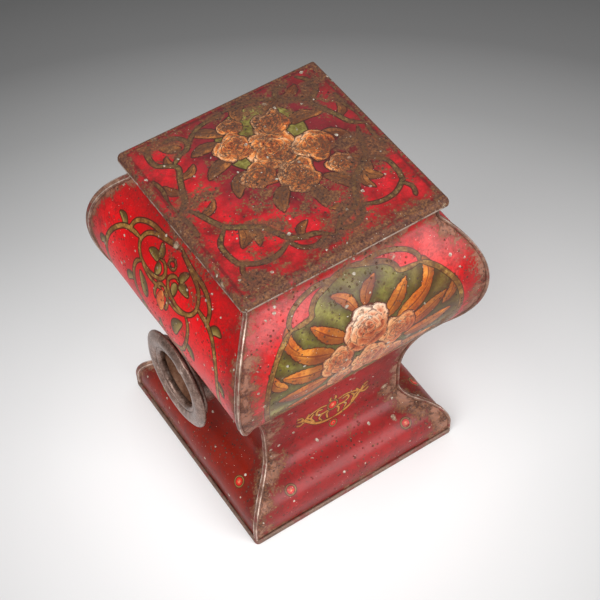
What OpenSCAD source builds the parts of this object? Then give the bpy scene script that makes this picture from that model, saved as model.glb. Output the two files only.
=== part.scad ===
// Small table magic lantern in lithographed tinplate: a square, waisted casing
// with a hinged lid, a focusing lens on one side and an oil lamp inside.
// Origin: centre of the base, on the surface it stands on. +Z is up.
// The front faces -Y, the lens looks along -X, the lid hinge is at +Y.

/* [Casing outline] */
// Width over the rim of the base
base_w = 115; // [110:1:124]
// Height of the rim that is folded round the foot of the casing
rim_h = 3; // [2:0.5:5]
// Thickness of the rim's fold outside the casing
rim_t = 1.2; // [0.8:0.1:2]
// Height of the upright wall of the foot
foot_wall_top = 9; // [6:0.5:12]
// Radius of the rounded shoulder of the foot
foot_round_r = 15; // [13:0.5:17]
// Radius of the hollow between foot and waist
foot_hollow_r = 11.5; // [9:0.5:14]
// Width of the casing at the waist
waist_w = 75; // [72:1:80]
// Height at which the waist starts to flare out
waist_top = 45; // [42:1:48]
// Width of the casing at its widest
bulge_w = 128; // [124:1:134]
// Height of the widest place
bulge_z = 122; // [119:1:126]
// Radius of the bulging wall
bulge_r = 50.5; // [47:0.5:54]
// Width of the neck under the lid
neck_w = 94; // [90:1:96]
// Radius of the hollow between bulge and neck
neck_hollow_r = 5.75; // [4:0.25:8]
// Height of the upright wall of the neck above that hollow
neck_wall_h = 4.7; // [3.5:0.1:5.5]
// Thickness of the tinplate of the casing
sheet_t = 0.8; // [0.5:0.1:1]

/* [Corner seams and base] */
// Width of the folded corner seam on the two side faces
seam_w = 3; // [2:0.25:4]
// Width of the folded corner seam on the front and back faces
seam_edge_w = 1; // [0.6:0.1:2]
// Height of the folded corner seam above the panels
seam_t = 0.9; // [0.6:0.1:1.2]
// Height of the pan's floor above the surface it stands on
pan_z = 1.2; // [0.8:0.1:2]
// Width of the standing ring that carries the foot, inside the casing
pan_ring_w = 2; // [1.5:0.5:4]
// Corner radius of the base rim
rim_corner_r = 2; // [1:0.5:4]

/* [Lid] */
// How far the lid reaches past the neck on each side
lid_over = 4; // [3:0.5:6]
// Gap between the panels' top edge and the lid's lower edge
lid_gap = 1; // [1:0.1:2]
// Height of the lid's upright edge
lid_skirt_h = 1.2; // [0.8:0.1:3]
// Radius of the lid's rounded border
lid_round_r = 3.2; // [2.5:0.1:4]
// Rise of the lid's top from its border to its middle
lid_rise = 2.5; // [1:0.1:4]
// Corner radius of the lid seen from above
lid_corner_r = 2.5; // [1:0.5:4]
// Gap between the lid's inner band and the collar it fits over
band_gap = 0.6; // [0.4:0.1:1]
// Height of the collar, that the lid closes over, above the lid's lower edge
collar_rise = 3; // [2.5:0.1:3.2]
// Depth of the collar's foot inside the casing, below the panels' top edge
collar_lap = 4; // [2:0.1:4.4]
// Radius of the rolled edge at the top of the collar
collar_roll_r = 0.9; // [0.6:0.1:1.2]

/* [Lid hinge] */
// Radius of the hinge pin
pin_r = 0.8; // [0.6:0.1:1]
// Wall of the hinge's rolled knuckles
knuckle_wall = 0.8; // [0.6:0.1:1.2]
// Length of the whole hinge
hinge_l = 60; // [45:1:75]
// Gap between neighbouring knuckles
knuckle_gap = 0.3; // [0.2:0.05:0.5]
// Radial clearance of the lid's knuckles on the pin
pin_clearance = 0.06; // [0.03:0.01:0.1]
// Height of the hinge's plate on the neck
hinge_plate_h = 4.4; // [3:0.2:4.6]
// How far the hinge's axis lies inside the lid's outer face, under the lid's edge
hinge_inset = 1.4; // [1.2:0.1:1.6]
// Gap between the hinge's knuckles and the lid's edge above them
knuckle_drop = 0.2; // [0.2:0.1:0.5]
// Length of the pin that shows at each end
pin_end = 1; // [0.5:0.5:2]

/* [Lens] */
// Height of the optical axis
axis_z = 73; // [70:0.5:76]
// How far the lens ring's front stays behind the widest place of the casing
ring_set_back = 2.5; // [1:0.5:4]
// Radius of the lens ring over its beaded rim
ring_r = 25.1; // [23:0.1:26]
// Radius of the bead on the rim of the lens ring
bead_r = 1.2; // [0.9:0.1:1.4]
// Radius of the opening in the lens ring
lens_bore_r = 14.4; // [13:0.1:15]
// Depth of the dish of the lens ring
ring_dish = 1.6; // [0.8:0.1:2.4]
// Radius of the rounded lip of the opening
lip_r = 1.6; // [1.2:0.1:2]
// Thickness of the tinplate of the tubes and rings
tube_t = 0.8; // [0.6:0.1:1]
// Radial clearance of the draw tube in its socket
draw_clearance = 0.08; // [0.04:0.01:0.1]
// Radius of the socket's flange over its bead
flange_r = 21; // [19:0.1:21.4]
// Gap between the lens ring's bead and the bead of the socket's flange
flange_gap = 0.5; // [0.3:0.1:1]
// Distance of the draw tube's inner end from the middle of the casing
draw_inner = 34; // [33.6:0.1:36]
// Thickness of the objective lens at its middle
objective_t = 10; // [9.5:0.25:11]
// Radius of curvature of the objective lens
objective_curve_r = 27; // [26.5:0.5:32]
// Distance of the objective lens from the middle of the casing
objective_x = 45; // [42:0.5:48]
// Width of the rings that hold the objective lens
retainer_w = 1.2; // [0.8:0.1:1.6]
// Length of each of those rings
retainer_l = 1; // [0.6:0.1:1.5]

/* [Slide stage and condenser] */
// Distance of the partition's lamp side from the middle of the casing
partition_x = 27; // [26.4:0.2:27.2]
// Height of the partition's lower edge
partition_foot = 30; // [28:1:36]
// Height of the partition's upper edge
partition_top = 98; // [96:1:100]
// Radius of the condenser lens
condenser_r = 18; // [16:0.5:19]
// Thickness of the condenser lens at its middle
condenser_t = 7; // [6:0.5:7.5]
// Radius of curvature of the condenser lens
condenser_curve_r = 34; // [30:1:40]
// Length of the condenser's cell on the lamp side of the partition
cell_l = 6; // [5:0.5:7]
// Radial clearance of the condenser lens in its cell
cell_clearance = 0.03; // [0.02:0.01:0.1]
// Width of the cell's flange
cell_flange_w = 2.2; // [1.5:0.1:3]
// Width of a slide that fits the stage
slide_w = 44; // [42:0.5:46]
// Depth of the stage, for slides in wooden frames
slide_t = 4.6; // [4.4:0.1:4.8]
// Width of the lips of the slide rails
rail_lip = 3; // [2:0.25:4]
// Height of the foot of the slide rails
rail_foot = 50; // [48:0.5:52]
// Height of the top of the slide rails
rail_top = 96; // [90:1:96]

/* [Lamp] */
// Distance of the lamp's axis from the middle of the casing
lamp_x = 4; // [3:0.5:5]
// Radius of the oil reservoir
oil_r = 22.5; // [22:0.25:23]
// Height of the oil reservoir
oil_h = 24; // [20:0.5:25]
// Thickness of the lamp's metal
lamp_t = 0.8; // [0.6:0.1:1]
// Gap between the reservoir and its seat
seat_gap = 0.3; // [0.2:0.05:0.5]
// Height of the lamp seat's ring
seat_h = 4; // [3:0.5:6]
// Radius of the screwed collar under the burner
burner_r = 11; // [10.6:0.1:11.5]
// Height of the screwed collar
burner_collar_h = 5; // [4:0.5:6]
// Width of the flat wick
wick_w = 14; // [12:0.5:15]
// Thickness of the flat wick
wick_t = 2.4; // [2:0.1:2.8]
// Gap between the wick and its tube
wick_gap = 0.2; // [0.15:0.05:0.3]
// Height of the top of the wick tube
wick_tube_top = 60; // [58:0.5:64]
// Length of wick that shows above the tube
wick_out = 4; // [3.5:0.5:6]
// Height of the wick's lower end above the reservoir's floor
wick_foot = 6; // [5:0.5:8]
// Height of the wick winder's shaft
winder_z = 41; // [40:0.5:42]
// Radius of the winder's shaft
winder_r = 1; // [0.8:0.1:1.2]
// Radius of the winder's spur wheels
spur_r = 3; // [2.5:0.1:3.2]
// Radius of the winder's knob
knob_r = 6; // [5:0.5:7]
// Thickness of the winder's knob
knob_t = 3; // [2:0.5:4]
// Distance of the knob's outer face from the wick
knob_reach = 31; // [28:0.5:32]
// Radius of the filler cap
cap_r = 3.5; // [3:0.25:4]
// Height of the filler cap
cap_h = 4; // [3:0.5:5]
// Distance of the filler cap from the lamp's axis
cap_offset = 16; // [15:0.5:17]

/* [Chimney] */
// Height of the gallery that carries the chimney
gallery_z = 46; // [45.5:0.5:48]
// Radius of the foot of the chimney
chimney_foot_r = 14; // [13.5:0.25:15]
// Height of the chimney's straight foot
chimney_foot_h = 8; // [7:0.5:10]
// Radius of the chimney's belly
chimney_belly_r = 16; // [15:0.5:17]
// Height of the belly above the gallery
belly_h = 22; // [20:1:26]
// Radius of the top of the chimney
chimney_top_r = 11; // [10:0.5:12]
// Height of the chimney
chimney_h = 50; // [44:1:52]
// Thickness of the chimney's glass
chimney_t = 1.2; // [1:0.1:1.5]
// Height of the gallery's prongs
prong_h = 7; // [5:0.5:9]
// Width of the gallery's prongs
prong_w = 4; // [3:0.5:5]

/* [Reflector] */
// Radius of the reflector's dish
dish_r = 23; // [20:0.5:24]
// Radius of curvature of the reflector's dish
dish_curve_r = 46; // [42:1:60]
// Distance of the back of the dish from the middle of the casing
dish_back = 34; // [33:0.5:35]
// Radius of the stem that carries the dish
stem_r = 3; // [2:0.5:4]
// Width of the stem's pad on the casing
pad_w = 16; // [12:1:20]

/* [Hidden] */

$fn = 96;
hair = 0.01;            // overlap that makes a cut clean
solder_gap = 0.1;       // gap that the solder fills round a tube or an edge
far = 90;               // longer than any part of the casing is wide

// Turns of the four faces from the back panel, which needs none
LENS = 1;
FRONT = 2;
LAMP = 3;

// ---- Outline of the casing: tangent arcs, from foot to neck ----
foot = base_w / 2 - rim_t;
waist = waist_w / 2;
bulge = bulge_w / 2;
neck = neck_w / 2;
lid_w = neck_w + 2 * lid_over;
ring_front = bulge - ring_set_back;

round_c = [foot - foot_round_r, foot_wall_top];
hollow_x = waist + foot_hollow_r;
hollow_c = [hollow_x, foot_wall_top
    + sqrt(pow(foot_round_r + foot_hollow_r, 2) - pow(hollow_x - round_c.x, 2))];
round_end = atan2(hollow_c.y - round_c.y, hollow_c.x - round_c.x);

// The flare is the one arc that leaves the waist upright and meets the bulge smoothly
flare_k = waist - bulge + bulge_r;
flare_r = (pow(flare_k, 2) + pow(bulge_z - waist_top, 2) - pow(bulge_r, 2))
    / (2 * (bulge_r - flare_k));
flare_c = [waist + flare_r, waist_top];
bulge_c = [bulge - bulge_r, bulge_z];
bulge_start = atan2(flare_c.y - bulge_c.y, flare_c.x - bulge_c.x);

top_x = neck + neck_hollow_r;
top_c = [top_x, bulge_z + sqrt(pow(bulge_r + neck_hollow_r, 2) - pow(top_x - bulge_c.x, 2))];
bulge_end = atan2(top_c.y - bulge_c.y, top_c.x - bulge_c.x);

panel_top = top_c.y + neck_wall_h;
lid_z = panel_top + lid_gap;
collar_top = lid_z + collar_rise;
collar_foot = panel_top - collar_lap;

function arc(c, r, from, to, steps) =
    [for (i = [0:steps]) let (a = from + (to - from) * i / steps) c + r * [cos(a), sin(a)]];

// The casing's wall line, moved in by d: [distance from the axis, height]
function wall_line(d, z0, z1) = concat(
    [[foot - d, z0]],
    arc(round_c, foot_round_r - d, 0, round_end, 10),
    arc(hollow_c, foot_hollow_r + d, round_end + 180, 180, 8),
    arc(flare_c, flare_r + d, 180, 180 + bulge_start, 10),
    arc(bulge_c, bulge_r - d, bulge_start, bulge_end, 22),
    arc(top_c, neck_hollow_r + d, bulge_end + 180, 180, 5),
    [[neck - d, z1]]);

function backwards(list) = [for (i = [len(list) - 1:-1:0]) list[i]];

// Distance of the flare's outer face from the axis at height z
function flare_at(z) = flare_c.x - sqrt(pow(flare_r, 2) - pow(z - flare_c.y, 2));

// ---- Building blocks of the casing ----
module turned(k) rotate([0, 0, 90 * k]) children();

// Carries a section [y, z] along X, right across the casing
module across() rotate([90, 0, 90]) linear_extrude(2 * far, center = true) children();

// A band of the casing's wall between two depths, facing +Y
module wall(d_out, d_in, z0, z1)
    across() polygon(concat(wall_line(d_out, z0, z1), backwards(wall_line(d_in, z0, z1))));

// The space between two facing panels, less a margin d on each
module inside(d) across() polygon(concat(wall_line(d, pan_z, collar_top),
    [for (p = backwards(wall_line(d, pan_z, collar_top))) [-p.x, p.y]]));

// The quarter of the plan that belongs to the face at +Y, cut along the mitres
module quarter() linear_extrude(2 * far) polygon([[0, 0], [far, far], [-far, far]]);

module panel(k) turned(k) intersection() {
    wall(0, sheet_t, pan_z, panel_top);
    quarter();
}

module rounded_square(w, r) {
    square([w - 2 * r, w], center = true);
    square([w, w - 2 * r], center = true);
    for (x = [-1, 1], y = [-1, 1]) translate([x, y] * (w / 2 - r)) circle(r);
}

module square_ring(outer, inner, z0, z1)
    translate([0, 0, z0]) linear_extrude(z1 - z0) difference() {
        square(outer, center = true);
        square(inner, center = true);
    }

// ---- Casing ----
module base_pan() color("#7a3b2c") {
    difference() {
        linear_extrude(rim_h) rounded_square(base_w, rim_corner_r);
        translate([0, 0, pan_z]) linear_extrude(rim_h) square(2 * foot, center = true);
        translate([0, 0, -hair]) linear_extrude(rim_h)
            square(2 * (foot - sheet_t - pan_ring_w), center = true);
    }
    translate([0, 0, pan_z]) linear_extrude(sheet_t) square(2 * (foot - sheet_t), center = true);
}

module front_panel() color("#b3202a") panel(FRONT);
module back_panel() color("#b3202a") panel(0);
module lamp_panel() color("#b3202a") panel(LAMP);
module lens_panel() color("#b3202a") difference() {
    panel(LENS);
    on_axis() cylinder(r = socket_outer + solder_gap, h = far);
}

// Folded seam over each corner: wide on the side face, narrow on the front and back
module corner_seams() color("#8a7668")
    for (x = [0, 1], y = [0, 1]) mirror([x, 0, 0]) mirror([0, y, 0]) {
        intersection() {
            turned(LENS) mirror([1, 0, 0]) wall(-seam_t, 0, rim_h, panel_top);
            linear_extrude(2 * far)
                polygon([[0, 0], [-far, far], [-far, far - seam_w], [0, -seam_w]]);
        }
        intersection() {
            wall(-seam_t, 0, rim_h, panel_top);
            linear_extrude(2 * far)
                polygon([[0, 0], [-far, far], [-far + seam_edge_w, far], [seam_edge_w, 0]]);
        }
    }

collar_out = neck - sheet_t;
module lid_collar() color("#8f8578") {
    square_ring(2 * collar_out, 2 * (collar_out - sheet_t), collar_foot, collar_top - collar_roll_r);
    roll = collar_out - collar_roll_r;
    for (k = [0:3]) turned(k) {
        translate([0, roll, collar_top - collar_roll_r]) rotate([0, 90, 0])
            cylinder(r = collar_roll_r, h = 2 * roll, center = true, $fn = 32);
        translate([roll, roll, collar_top - collar_roll_r]) sphere(collar_roll_r, $fn = 32);
    }
}

// ---- Lid ----
lid_half = lid_w / 2;
lid_border = lid_half - lid_round_r;
lid_round_z = lid_z + lid_skirt_h;
lid_dome_e = lid_round_r + lid_rise;
lid_dome_r = (pow(lid_border, 2) + pow(lid_dome_e, 2) - pow(lid_round_r, 2))
    / (2 * (lid_dome_e - lid_round_r));
lid_dome_z = lid_round_z + lid_dome_e - lid_dome_r;
lid_dome_a = atan2(lid_round_z - lid_dome_z, lid_border);

function lid_line(d) = concat(
    [[lid_half - d, lid_z - (d > 0 ? 1 : 0)]],
    arc([lid_border, lid_round_z], lid_round_r - d, 0, lid_dome_a, 8),
    arc([0, lid_dome_z], lid_dome_r - d, lid_dome_a, 90, 6));

module lid_body(d) intersection_for (k = [0, 1]) turned(k) across()
    polygon(concat(lid_line(d), [for (p = backwards(lid_line(d))) [-p.x, p.y]]));

module lid_shell() color("#a3262c") difference() {
    intersection() {
        lid_body(0);
        linear_extrude(2 * far) rounded_square(lid_w, lid_corner_r);
    }
    intersection() {
        lid_body(sheet_t);
        linear_extrude(2 * far) rounded_square(lid_w - 2 * sheet_t, lid_corner_r - sheet_t / 2);
    }
}

// Band inside the lid that closes over the collar, soldered up to the lid's underside
band_in = collar_out + band_gap;
module lid_inner_band() color("#8f8578") difference() {
    intersection() {
        square_ring(2 * (band_in + sheet_t), 2 * band_in, lid_z, lid_z + far);
        lid_body(sheet_t);
    }
}

// ---- Lid hinge ----
knuckle_r = pin_r + knuckle_wall;
hinge_y = lid_half - hinge_inset;
hinge_z = lid_z - knuckle_r - knuckle_drop;
hinge_step = hinge_l / 5;

// Knuckle number i of five, with its hole
module knuckle(i, hole_r) translate([(i - 2) * hinge_step, hinge_y, hinge_z]) difference() {
    rotate([0, 90, 0]) union() {
        cylinder(r = knuckle_r, h = hinge_step - knuckle_gap, center = true);
        rotate([0, -90, 0]) translate([-(hinge_step - knuckle_gap) / 2, 0, 0]) children();
    }
    rotate([0, 90, 0]) cylinder(r = hole_r, h = far, center = true);
}

module lid_hinge_leaf() color("#7d7468") for (i = [1, 3]) knuckle(i, pin_r + pin_clearance)
    translate([0, lid_half - 2 * sheet_t - hinge_y, 0])
        cube([hinge_step - knuckle_gap, sheet_t, lid_z + lid_skirt_h - hinge_z]);

module neck_hinge_leaf() color("#7d7468") {
    arm_z = knuckle_drop - knuckle_r;
    for (i = [0, 2, 4]) knuckle(i, pin_r) {
        translate([0, neck - hinge_y, arm_z])
            cube([hinge_step - knuckle_gap, hinge_y - neck, sheet_t]);
        translate([0, neck - hinge_y, panel_top - hinge_z - hinge_plate_h])
            cube([hinge_step - knuckle_gap, sheet_t, hinge_plate_h]);
    }
}

module hinge_pin() color("#9c958a") translate([0, hinge_y, hinge_z]) rotate([0, 90, 0])
    cylinder(r = pin_r, h = hinge_l + 2 * pin_end, center = true);

// ---- Lens: everything on it is turned about the optical axis, outwards from the casing ----
draw_outer = lens_bore_r + tube_t;
socket_inner = draw_outer + draw_clearance;
socket_outer = socket_inner + tube_t;
ring_bead = ring_front - bead_r;
flange_bead = ring_bead - 2 * bead_r - flange_gap;

module on_axis() translate([0, 0, axis_z]) rotate([0, -90, 0]) children();

// Section of a dished ring with a beaded rim, [radius, distance outwards].
// Its lip curls in to the radius inner, and meets the tube at the distance lip_end.
module dished_section(rim, bead, inner) {
    lip_c = [inner + lip_r, bead + bead_r - ring_dish - lip_r];
    translate([rim - bead_r, bead]) circle(bead_r, $fn = 48);
    polygon(concat(
        [[rim - bead_r, bead + bead_r / 2], [rim - bead_r, bead + bead_r]],
        arc(lip_c, lip_r, 90, 180, 8),
        arc(lip_c, lip_r - tube_t, 180, 90, 6)));
}
function lip_end(bead) = bead + bead_r - ring_dish - lip_r;

module lens_socket() color("#5b4a42") on_axis() rotate_extrude() {
    dished_section(flange_r, flange_bead, socket_inner);
    translate([socket_inner, draw_inner]) square([tube_t, lip_end(flange_bead) - draw_inner]);
}

module lens_ring() color("#6e5a50") on_axis() rotate_extrude()
    dished_section(ring_r, ring_bead, lens_bore_r);

module draw_tube() color("#6e5a50") on_axis() rotate_extrude()
    translate([lens_bore_r, draw_inner]) square([tube_t, lip_end(ring_bead) - draw_inner]);

// The rim of a lens of radius half lies this far behind its vertex
function sag(r, half) = r - sqrt(pow(r, 2) - pow(half, 2));

// Both faces of the objective bulge
module objective_lens() color("#cfe3e6", 0.5) on_axis() translate([0, 0, objective_x])
    rotate_extrude() intersection() {
        translate([0, -objective_t]) square([lens_bore_r, 2 * objective_t]);
        translate([0, objective_t / 2 - objective_curve_r]) circle(objective_curve_r, $fn = 720);
        translate([0, objective_curve_r - objective_t / 2]) circle(objective_curve_r, $fn = 720);
    }

// Rings in front of and behind the lens, which touch it along their inner edges
retainer_at = objective_t / 2 - sag(objective_curve_r, lens_bore_r - retainer_w);
module lens_retainers() color("#8f8578") on_axis() translate([0, 0, objective_x])
    for (side = [0, 1]) mirror([0, 0, side]) translate([0, 0, retainer_at]) difference() {
        cylinder(r = lens_bore_r, h = retainer_l);
        translate([0, 0, -hair]) cylinder(r = lens_bore_r - retainer_w, h = far);
    }

// ---- Slide stage and condenser ----
cell_inner = condenser_r + cell_clearance;
cell_outer = cell_inner + tube_t;
stage_face = partition_x + sheet_t;
rail_inner = slide_w / 2;

module stage_partition() color("#4d4640") difference() {
    intersection() {
        inside(sheet_t + solder_gap);
        translate([-stage_face, -far, partition_foot])
            cube([sheet_t, 2 * far, partition_top - partition_foot]);
    }
    on_axis() cylinder(r = cell_outer + solder_gap, h = far);
}

// Two rails with lips, and the ledge at their foot that a slide stands on
module slide_rails() color("#4d4640") {
    depth = slide_t + sheet_t;
    for (side = [0, 1]) mirror([0, side, 0]) translate([-stage_face - depth, rail_inner, rail_foot]) {
        cube([depth, sheet_t, rail_top - rail_foot]);
        translate([0, sheet_t - rail_lip, 0]) cube([sheet_t, rail_lip, rail_top - rail_foot]);
    }
    translate([-stage_face - depth, -rail_inner, rail_foot])
        cube([depth, 2 * rail_inner, sheet_t]);
}

module condenser_cell() color("#8f8578") on_axis() rotate_extrude() {
    translate([cell_inner, partition_x - cell_l]) square([tube_t, cell_l + sheet_t]);
    translate([cell_inner, partition_x - sheet_t]) square([tube_t + cell_flange_w, sheet_t]);
    translate([cell_inner - tube_t, partition_x]) square([tube_t + hair, sheet_t]);
}

// Flat towards the stage, bulging towards the lamp
module condenser_lens() color("#cfe3e6", 0.5) on_axis()
    translate([0, 0, partition_x - condenser_t]) rotate_extrude() intersection() {
        square([condenser_r, condenser_t]);
        translate([0, condenser_curve_r]) circle(condenser_curve_r, $fn = 720);
    }

// ---- Reflector ----
module reflector() color("#c9c6bd") translate([dish_back - dish_curve_r, 0, axis_z])
    rotate([0, 90, 0]) rotate_extrude() intersection() {
        difference() {
            circle(dish_curve_r, $fn = 720);
            circle(dish_curve_r - lamp_t, $fn = 720);
        }
        square([dish_r, far]);
    }

// Stem behind the dish, on a pad that follows the casing's wall
module reflector_stem() color("#8f8578") {
    intersection() {
        turned(LENS) inside(sheet_t + lamp_t / 2);
        translate([dish_back, 0, axis_z]) rotate([0, 90, 0]) cylinder(r = stem_r, h = far);
    }
    intersection() {
        turned(LAMP) wall(sheet_t, sheet_t + lamp_t, pan_z, panel_top);
        translate([0, -pad_w / 2, axis_z - pad_w / 2]) cube([far, pad_w, pad_w]);
    }
}

// ---- Lamp ----
floor_z = pan_z + sheet_t;
oil_top = floor_z + oil_h;
collar_end = oil_top + burner_collar_h;
wick_slot = [wick_t + 2 * wick_gap, wick_w + 2 * wick_gap];
winder_x = wick_t / 2 + wick_gap + spur_r;
burner_body_r = burner_r - 1;
spur_t = 2;             // thickness of a spur wheel
spur_room = wick_w / 4 + spur_t / 2 + seat_gap;
shaft_seat = 2;         // depth of the shaft's blind bearing

module at_lamp() translate([lamp_x, 0, 0]) children();

module lamp_seat() color("#4d4640") at_lamp() translate([0, 0, floor_z]) difference() {
    cylinder(r = oil_r + seat_gap + lamp_t, h = seat_h);
    translate([0, 0, -hair]) cylinder(r = oil_r + seat_gap, h = far);
}

module oil_reservoir() color("#b08d4a") at_lamp() translate([0, 0, floor_z]) difference() {
    cylinder(r = oil_r, h = oil_h);
    translate([0, 0, lamp_t]) cylinder(r = oil_r - lamp_t, h = oil_h - 2 * lamp_t);
    translate([0, 0, oil_h / 2]) cube_at([wick_slot.x, wick_slot.y, far]);
}
module cube_at(size) translate([-size.x / 2, -size.y / 2, 0]) cube(size);

module filler_cap() color("#b08d4a") at_lamp() translate([0, cap_offset, oil_top]) {
    cylinder(r = cap_r, h = cap_h / 2);
    translate([0, 0, cap_h / 2]) cylinder(r = cap_r - 1, h = cap_h / 2);
}

// Screwed collar, housing of the winder, and the flat tube that guides the wick
module burner() color("#b08d4a") at_lamp() difference() {
    union() {
        translate([0, 0, oil_top]) cylinder(r = burner_r, h = burner_collar_h);
        translate([0, 0, collar_end]) cylinder(r = burner_body_r, h = gallery_z - collar_end);
        translate([0, 0, oil_top])
            cube_at([wick_slot.x + 2 * lamp_t, wick_slot.y + 2 * lamp_t, wick_tube_top - oil_top]);
    }
    translate([0, 0, oil_top - 1]) cube_at([wick_slot.x, wick_slot.y, far]);
    translate([winder_x, 0, winder_z]) rotate([90, 0, 0]) {
        translate([0, 0, -spur_room - shaft_seat]) cylinder(r = winder_r + pin_clearance, h = far);
        cylinder(r = spur_r + seat_gap, h = 2 * spur_room, center = true);
    }
}

// Shaft with two spur wheels behind the wick and a milled knob at its outer end
module wick_winder() color("#b08d4a") at_lamp() translate([winder_x, 0, winder_z]) rotate([90, 0, 0]) {
    shaft_end = spur_room + shaft_seat - seat_gap;
    translate([0, 0, -shaft_end]) cylinder(r = winder_r, h = shaft_end + knob_reach - knob_t / 2);
    for (y = [-1, 1]) translate([0, 0, y * wick_w / 4 - spur_t / 2]) spur();
    translate([0, 0, knob_reach - knob_t]) difference() {
        cylinder(r = knob_r, h = knob_t);
        for (a = [0:30:330]) rotate([0, 0, a]) translate([knob_r + 0.3, 0, -hair])
            cylinder(r = 0.8, h = far, $fn = 16);
    }
}
module spur() difference() {
    cylinder(r = spur_r - wick_gap / 2, h = spur_t);
    for (a = [0:45:315]) rotate([0, 0, a]) translate([spur_r, 0, -hair])
        cylinder(r = 0.7, h = far, $fn = 16);
}

module wick() color("#e8dfc8") at_lamp() translate([0, 0, floor_z + wick_foot])
    cube_at([wick_t, wick_w, wick_tube_top + wick_out - floor_z - wick_foot]);

// ---- Chimney ----
gallery_r = chimney_foot_r + seat_gap + lamp_t;
air_hole_r = 0.9;       // radius of the holes that let air up to the flame

module chimney_gallery() color("#b08d4a") at_lamp() translate([0, 0, gallery_z]) {
    difference() {
        cylinder(r = gallery_r, h = lamp_t);
        translate([0, 0, -hair]) cube_at([wick_slot.x + 2 * lamp_t, wick_slot.y + 2 * lamp_t, far]);
        for (a = [0:30:330]) rotate([0, 0, a])
            translate([(burner_body_r + chimney_foot_r - chimney_t) / 2, 0, -hair])
                cylinder(r = air_hole_r, h = far, $fn = 24);
    }
    intersection() {
        difference() {
            cylinder(r = gallery_r, h = prong_h);
            translate([0, 0, -hair]) cylinder(r = gallery_r - lamp_t, h = far);
        }
        for (a = [0, 90]) rotate([0, 0, a + 45])
            translate([0, 0, prong_h / 2]) cube([far, prong_w, prong_h], center = true);
    }
}

// The chimney's outline, moved in by d: a straight foot and a belly that narrows to the top
function ease(from, to, part) = from + (to - from) * (1 - cos(180 * part)) / 2;
function chimney_line(d) = concat(
    [[chimney_foot_r - d, 0]],
    [for (i = [0:10]) [ease(chimney_foot_r, chimney_belly_r, i / 10) - d,
        chimney_foot_h + (belly_h - chimney_foot_h) * i / 10]],
    [for (i = [1:16]) [ease(chimney_belly_r, chimney_top_r, i / 16) - d,
        belly_h + (chimney_h - belly_h) * i / 16]]);

module chimney() color("#dfe8e6", 0.4) at_lamp() translate([0, 0, gallery_z + lamp_t])
    rotate_extrude() polygon(concat(chimney_line(0), backwards(chimney_line(chimney_t))));

base_pan();
front_panel();
back_panel();
lens_panel();
lamp_panel();
corner_seams();
lid_collar();
lid_shell();
lid_inner_band();
lid_hinge_leaf();
neck_hinge_leaf();
hinge_pin();
lens_socket();
lens_ring();
draw_tube();
objective_lens();
lens_retainers();
stage_partition();
slide_rails();
condenser_cell();
condenser_lens();
reflector();
reflector_stem();
lamp_seat();
oil_reservoir();
filler_cap();
burner();
wick_winder();
wick();
chimney_gallery();
chimney();
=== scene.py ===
import math

import bpy
import numpy as np
from mathutils import Matrix


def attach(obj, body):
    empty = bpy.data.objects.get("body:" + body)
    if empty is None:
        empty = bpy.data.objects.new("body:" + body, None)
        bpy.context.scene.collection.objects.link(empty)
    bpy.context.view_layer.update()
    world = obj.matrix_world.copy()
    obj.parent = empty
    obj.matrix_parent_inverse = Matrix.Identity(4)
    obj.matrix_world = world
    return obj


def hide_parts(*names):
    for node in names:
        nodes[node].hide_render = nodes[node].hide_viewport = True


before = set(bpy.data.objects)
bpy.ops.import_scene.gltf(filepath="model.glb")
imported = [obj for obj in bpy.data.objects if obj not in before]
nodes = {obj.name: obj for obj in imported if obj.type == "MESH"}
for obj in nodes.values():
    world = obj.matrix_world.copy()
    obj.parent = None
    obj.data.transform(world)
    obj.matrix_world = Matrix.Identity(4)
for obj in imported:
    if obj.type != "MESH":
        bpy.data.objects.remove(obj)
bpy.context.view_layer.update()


# ---- Camera ----
# A long lens looks down on the lantern from above its front left corner.
def placed(name, data, position, right, up):
    """A camera or lamp at position; its axes are right, up and their cross product."""
    turn = np.identity(4)
    turn[:3] = np.stack([right, up, np.cross(right, up), position], 1)
    thing = bpy.data.objects.new(name, data)
    bpy.context.scene.collection.objects.link(thing)
    thing.matrix_world = Matrix(turn.tolist())
    return thing


azimuth, elevation, roll = 0.556829, 0.903284, -0.036489
ahead = np.array([math.cos(elevation) * math.sin(azimuth),
                  math.cos(elevation) * math.cos(azimuth), -math.sin(elevation)])
level = np.array([math.cos(azimuth), -math.sin(azimuth), 0])
upward = np.cross(level, ahead)
camera = bpy.data.cameras.new("camera")
camera.lens, camera.sensor_width, camera.clip_end = 92.96, 36, 20
bpy.context.scene.camera = placed(
    "camera", camera, position=(-0.22927, -0.38008, 0.65018),
    right=math.cos(roll) * level + math.sin(roll) * upward,
    up=math.cos(roll) * upward - math.sin(roll) * level)


# ---- Floor and light ----
# A sheet of pale paper under large soft lamps, with painted light falloff: white near the lantern, grey away
# from the camera.
def ink(red, green, blue):
    """A colour in print values of 0 to 255, as the linear colour that a socket takes."""
    value = np.array([red, green, blue]) / 255
    linear = np.where(value > 0.04045, ((value + 0.055) / 1.055) ** 2.4, value / 12.92)
    return tuple(linear) + (1.0,)


class Wire:
    """A socket of a finish. A sum, difference, product or quotient of wires adds its Math node."""

    def __init__(self, finish, socket):
        self.finish, self.socket = finish, socket

    def math(self, operation, *others):
        return self.finish.node("Math", {"operation": operation}, dict(enumerate((self,) + others)))

    def __add__(self, other):
        return self.math("ADD", other)

    def __sub__(self, other):
        return self.math("SUBTRACT", other)

    def __rsub__(self, other):
        return (self * -1) + other

    def __mul__(self, other):
        return self.math("MULTIPLY", other)

    def __truediv__(self, other):
        return self.math("DIVIDE", other)

    __radd__, __rmul__ = __add__, __mul__


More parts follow.
